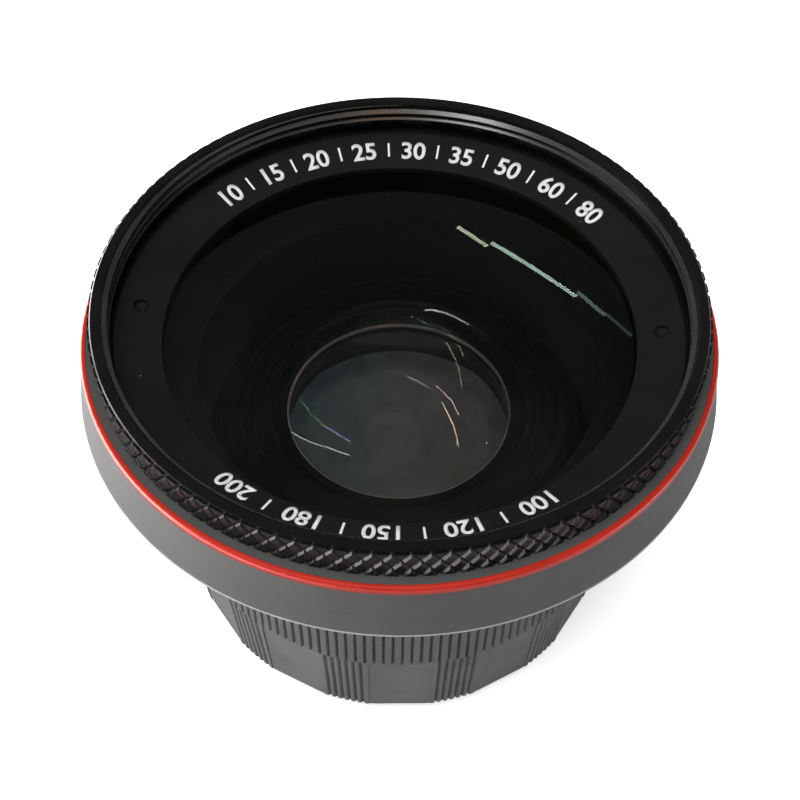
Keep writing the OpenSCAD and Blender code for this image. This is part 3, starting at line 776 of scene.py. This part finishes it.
def makeFloor(look):
    half = look["size"] / 2
    data = flatPanel("floor", -half, half, -half, half)
    material = bpy.data.materials.new("floor_paper")
    material.use_nodes = True
    tree = material.node_tree
    tree.nodes.clear()
    place = useGroup(tree, latheCoords)
    ray = addNode(tree, "ShaderNodeLightPath")
    outside = mapRange(tree, place.outputs["Radius"], look["underRadius"], look["underRadius"] + 1.0)
    paper = addNode(tree, "ShaderNodeBsdfDiffuse")
    link(tree, mixColour(tree, ray.outputs["Is Camera Ray"], grey(look["dark"]), grey(look["white"])),
         paper.inputs["Color"])
    # painted shade: a dim mottled glow, bluish on the left and warm on the right, stands for the paper in the
    # shade of the tube, which the glass shows under the lens
    cloud = addNode(tree, "ShaderNodeTexNoise")
    setInputs(cloud, Scale=0.35, Detail=5.0, Roughness=0.6)
    link(tree, place.outputs["Place"], cloud.inputs["Vector"])
    under = mapRange(tree, cloud.outputs["Fac"], 0.3, 0.7, *look["under"])
    tubeShadeSeen = mathNode(tree, "MULTIPLY", under, ray.outputs["Is Transmission Ray"])
    tubeShadeSeen = mathNode(tree, "MULTIPLY", tubeShadeSeen, mathNode(tree, "SUBTRACT", 1.0, outside))
    seen = mathNode(tree, "MULTIPLY", ray.outputs["Is Camera Ray"], look["glow"])
    parts = addNode(tree, "ShaderNodeSeparateXYZ")
    link(tree, place.outputs["Place"], parts.inputs[0])
    litStart, litFull, litGlow = look["lit"]
    lit = mapRange(tree, parts.outputs[0], litFull, litStart, litGlow, 0.0)
    glossStart, glossFull, glossGlow = look["gloss"]
    around = mapRange(tree, place.outputs["Radius"], glossStart, glossFull, 0.0, glossGlow)
    lit = mathNode(tree, "MULTIPLY", mathNode(tree, "ADD", lit, around), ray.outputs["Is Glossy Ray"])
    glow = addNode(tree, "ShaderNodeEmission")
    link(tree, mathNode(tree, "ADD", mathNode(tree, "ADD", seen, tubeShadeSeen), lit), glow.inputs["Strength"])
    # the side tint colours the glow within the radius of the tube, where the painted shade lies; further out
    # the glow is white
    side = mapRange(tree, parts.outputs[0], *look["leftToRight"])
    tint = mixColour(tree, side, look["left"], look["right"])
    link(tree, mixColour(tree, outside, tint, grey(1.0)), glow.inputs["Color"])
    both = addNode(tree, "ShaderNodeAddShader")
    link(tree, paper.outputs[0], both.inputs[0])
    link(tree, glow.outputs[0], both.inputs[1])
    clear = addNode(tree, "ShaderNodeBsdfTransparent")
    sided = addNode(tree, "ShaderNodeMixShader")
    link(tree, addNode(tree, "ShaderNodeNewGeometry").outputs["Backfacing"], sided.inputs[0])
    link(tree, both.outputs[0], sided.inputs[1])
    link(tree, clear.outputs[0], sided.inputs[2])
    output = addNode(tree, "ShaderNodeOutputMaterial")
    link(tree, sided.outputs[0], output.inputs["Surface"])
    floor = addObject("floor", data, [material])
    return floor


makeFloor(floorLook)


# The room: white behind the part for the camera, dimmer for gloss high up, soft for the light on the part.
# The patches are round stretches of it that only gloss sees, such as the ceiling behind.
# Its half angles are in degrees.
roomLook = {"soft": 0.25, "low": 0.22, "high": 0.03, "highFrom": 0.45, "blur": 0.7, "patches": [
    {"towards": (0.0, 0.63, 0.78), "half": 25.0, "glow": 0.12, "colour": (0.9, 0.84, 1.0, 1.0)},
    {"towards": (-0.05, 0.12, 0.99), "half": 17.0, "glow": 0.16, "colour": (1.0, 0.96, 1.0, 1.0)},
]}


def makeRoom(look):
    world = bpy.data.worlds.new("room")
    scene.world = world
    world.use_nodes = True
    tree = world.node_tree
    tree.nodes.clear()
    coords = addNode(tree, "ShaderNodeTexCoord")
    parts = addNode(tree, "ShaderNodeSeparateXYZ")
    link(tree, coords.outputs["Generated"], parts.inputs[0])
    glossy = mapRange(tree, parts.outputs["Z"], 0.0, look["highFrom"], look["low"], look["high"])
    colour = grey(1.0)
    for patch in look["patches"]:
        towards = addNode(tree, "ShaderNodeVectorMath", operation="DOT_PRODUCT")
        link(tree, coords.outputs["Generated"], towards.inputs[0])
        towards.inputs[1].default_value = Vector(patch["towards"]).normalized()
        rim = math.cos(math.radians(patch["half"] + look["blur"]))
        full = math.cos(math.radians(patch["half"] - look["blur"]))
        mask = mapRange(tree, towards.outputs["Value"], rim, full)
        glossy = mathNode(tree, "ADD", glossy, mathNode(tree, "MULTIPLY", mask, patch["glow"]))
        colour = mixColour(tree, mask, colour, patch["colour"])
    ray = addNode(tree, "ShaderNodeLightPath")
    mixed = addNode(tree, "ShaderNodeMix", data_type="FLOAT")
    link(tree, ray.outputs["Is Glossy Ray"], mixed.inputs[0])
    mixed.inputs[2].default_value = look["soft"]
    link(tree, glossy, mixed.inputs[3])
    final = addNode(tree, "ShaderNodeMix", data_type="FLOAT")
    link(tree, ray.outputs["Is Camera Ray"], final.inputs[0])
    link(tree, mixed.outputs[0], final.inputs[2])
    final.inputs[3].default_value = 1.0
    background = addNode(tree, "ShaderNodeBackground")
    link(tree, mixColour(tree, ray.outputs["Is Camera Ray"], colour, grey(1.0)), background.inputs["Color"])
    link(tree, final.outputs[0], background.inputs["Strength"])
    output = addNode(tree, "ShaderNodeOutputWorld")
    link(tree, background.outputs[0], output.inputs["Surface"])


makeRoom(roomLook)


# Matrix of an object whose own axes point along the three given directions
def standMatrix(xAxis, yAxis, zAxis, place):
    columns = (xAxis, yAxis, zAxis, place)
    return Matrix([[column[row] for column in columns] for row in range(3)] + [[0, 0, 0, 1]])


def areaLamp(name, length, width, power, colour):
    data = bpy.data.lights.new(name, "AREA")
    data.shape = "RECTANGLE"
    data.size = length
    data.size_y = width
    data.energy = power
    data.color = colour
    lamp = bpy.data.objects.new(name, data)
    scene.collection.objects.link(lamp)
    lamp.visible_camera = False
    return lamp


# An area lamp that looks at the part. One with gloss False lights the part but has no mirror image in it.
def addLamp(look):
    lamp = areaLamp(look["name"], *look["size"], look["power"], look["colour"])
    lamp.location = look["place"]
    direction = Vector(lampTarget) - Vector(look["place"])
    lamp.rotation_euler = direction.to_track_quat("-Z", "Y").to_euler()
    lamp.visible_glossy = look["gloss"]
    lamp.visible_transmission = look["gloss"]
    return lamp


# Keeps a lamp's light to the named pieces
def lightOnly(lamp, names):
    lit = bpy.data.collections.new(lamp.name + "Lights")
    for piece in scene.objects:
        if piece.name in names:
            lit.objects.link(piece)
    lamp.light_linking.receiver_collection = lit


# The side lamps stand so low that the rim keeps their light off the glass. "only" names the pieces that a
# lamp reaches: the last three shine on the turns of the filter thread. Places are in metres.
lampTarget = (0, 0, 0.03)
lamps = [
    {"name": "softLamp", "place": (-0.15, -0.25, 1.1), "size": (0.8, 0.8), "power": 14.0,
     "colour": (1.0, 0.99, 0.98), "gloss": False},
    {"name": "leftLamp", "place": (-0.95, -0.10, 0.10), "size": (0.7, 0.16), "power": 8.5,
     "colour": (1.0, 0.98, 0.95), "gloss": True},
    {"name": "rightLamp", "place": (0.85, -0.25, 0.10), "size": (0.4, 0.14), "power": 1.2,
     "colour": (0.97, 0.98, 1.0), "gloss": True},
    {"name": "keyLamp", "place": (-0.13, -0.33, 0.93), "size": (0.30, 0.02), "power": 1.0,
     "colour": (1.0, 0.99, 0.97), "gloss": False},
    {"name": "windowLamp", "place": (-0.29, -0.32, 0.94), "size": (0.26, 0.30), "power": 4.0,
     "colour": (1.0, 0.99, 0.97), "gloss": True, "only": ("filterThread",)},
    {"name": "ceilingLamp", "place": (0.0, -0.25, 1.0), "size": (1.4, 0.9), "power": 1.6,
     "colour": (1.0, 0.99, 0.97), "gloss": True, "only": ("filterThread",)},
    {"name": "warmLamp", "place": (0.08, -0.40, 0.90), "size": (0.16, 0.3), "power": 0.6,
     "colour": (1.0, 0.55, 0.25), "gloss": True, "only": ("filterThread",)},
]
for lampLook in lamps:
    lamp = addLamp(lampLook)
    if "only" in lampLook:
        lightOnly(lamp, lampLook["only"])


# Thin lamps overhead, each along a line of points: their images are the streaks and arcs in the glass.
# The points are shares of the height, which is in metres. The coloured strips lie side by side, so that their
# arcs show split colours. Each lamp faces the front glass.
outerGlass = ("frontGlass",)
innerGlass = ("macroFrontGlass",)
tubes = {"height": 1.0, "target": (0, 0, 0.036), "lines": [
    {"name": "shortStreak", "points": [(0.141, 1.349), (0.207, 1.269)],
     "width": 0.012, "glow": 13.0, "colour": (1.0, 0.97, 0.72), "only": outerGlass},
    {"name": "longStreak", "points": [(0.218, 1.253), (0.400, 1.070)],
     "width": 0.012, "glow": 14.0, "colour": (0.9, 1.0, 0.95), "only": outerGlass},
    {"name": "fadingStreak", "points": [(0.400, 1.070), (0.454, 0.997)],
     "width": 0.011, "glow": 4.0, "colour": (0.8, 1.0, 1.0), "only": outerGlass},
    {"name": "faintStreak", "points": [(0.454, 0.997), (0.505, 0.932)],
     "width": 0.010, "glow": 1.4, "colour": (0.8, 1.0, 1.0), "only": outerGlass},
    {"name": "crescent",
     "points": [(0.506, 2.076), (0.816, 2.315), (1.149, 2.426), (1.471, 2.372), (1.775, 2.265)],
     "width": 0.10, "glow": 75.0, "colour": (1.0, 0.72, 0.82), "only": outerGlass},
    {"name": "highArc", "points": [(0.577, 1.129), (0.734, 0.844), (0.810, 0.545)],
     "width": 0.018, "glow": 110.0, "colour": (1.0, 0.6, 0.72), "only": outerGlass},
    {"name": "sideArc", "points": [(0.553, 0.694), (0.655, 0.362), (0.713, 0.034)],
     "width": 0.016, "glow": 80.0, "colour": (1.0, 0.65, 0.5), "only": outerGlass},
    {"name": "longArc", "points": [(0.176, 1.341), (0.420, 1.060), (0.674, 0.743)],
     "width": 0.020, "glow": 38.0, "colour": (1.0, 1.0, 1.0), "only": innerGlass},
    {"name": "lowArc", "points": [(0.779, 0.678), (0.901, 0.438)],
     "width": 0.026, "glow": 45.0, "colour": (1.0, 1.0, 1.0), "only": innerGlass},
    {"name": "crossArc", "points": [(0.557, 0.530), (0.936, 0.988)],
     "width": 0.026, "glow": 30.0, "colour": (0.9, 1.0, 0.98), "only": innerGlass},
    {"name": "tealStrip", "points": [(-1.888, -0.003), (-1.521, -0.319), (-1.127, -0.527)],
     "width": 0.022, "glow": 14.0, "colour": (0.5, 1.0, 0.87), "only": outerGlass},
    {"name": "yellowStrip", "points": [(-1.127, -0.527), (-0.825, -0.679), (-0.615, -0.788)],
     "width": 0.022, "glow": 80.0, "colour": (1.0, 0.77, 0.06), "only": outerGlass},
    {"name": "violetStrip", "points": [(-1.020, -0.563), (-0.816, -0.661), (-0.640, -0.752)],
     "width": 0.026, "glow": 60.0, "colour": (0.23, 0.08, 1.0), "only": outerGlass},
    {"name": "blueEdge", "points": [(-2.762, 0.205), (-2.681, -0.244)],
     "width": 0.040, "glow": 14.0, "colour": (0.5, 0.6, 1.0), "only": outerGlass},
    {"name": "yellowEdge", "points": [(-2.681, -0.244), (-2.607, -0.752)],
     "width": 0.050, "glow": 80.0, "colour": (0.8, 0.77, 0.08), "only": outerGlass},
]}


def makeTubes(size):
    for line in size["lines"]:
        for index, (first, second) in enumerate(zip(line["points"], line["points"][1:])):
            start = Vector((*first, 1.0)) * size["height"]
            end = Vector((*second, 1.0)) * size["height"]
            middle = (start + end) / 2
            along = (end - start).normalized()
            length = (end - start).length
            power = line["glow"] * length * line["width"] * math.pi
            lamp = areaLamp(f"{line['name']}{index}", length, line["width"], power, line["colour"])
            toPart = (Vector(size["target"]) - middle).normalized()
            across = (-toPart).cross(along).normalized()
            lamp.matrix_world = standMatrix(along, across, -toPart, middle)
            lightOnly(lamp, line["only"])
    print("lamps made:", len(bpy.data.lights))


makeTubes(tubes)


# The camera stands above the front of the part and looks down at it, as in the photograph. Its place is in
# millimetres, its angles in radians and its clipping in metres.
cameraSize = {"place": (0.0, -73.80, 116.10), "yaw": 0.0016, "pitch": 0.8941, "roll": 0.0159, "lens": 54.0,
              "sensor": 36.0, "clip": (0.01, 20.0)}


def makeCamera(size):
    data = bpy.data.cameras.new("camera")
    data.sensor_width = size["sensor"]
    data.lens = size["lens"]
    data.clip_start, data.clip_end = size["clip"]
    camera = bpy.data.objects.new("camera", data)
    scene.collection.objects.link(camera)
    yaw, pitch, roll = size["yaw"], size["pitch"], size["roll"]
    level = math.cos(pitch)
    forward = Vector((math.sin(yaw) * level, math.cos(yaw) * level, -math.sin(pitch)))
    right = forward.cross(Vector((0, 0, 1))).normalized()
    up = right.cross(forward)
    rightRolled = right * math.cos(roll) + up * math.sin(roll)
    upRolled = up * math.cos(roll) - right * math.sin(roll)
    place = Vector(size["place"]) * mm
    camera.matrix_world = standMatrix(rightRolled, upRolled, -forward, place)
    scene.camera = camera


makeCamera(cameraSize)
scene.view_settings.view_transform = "Standard"
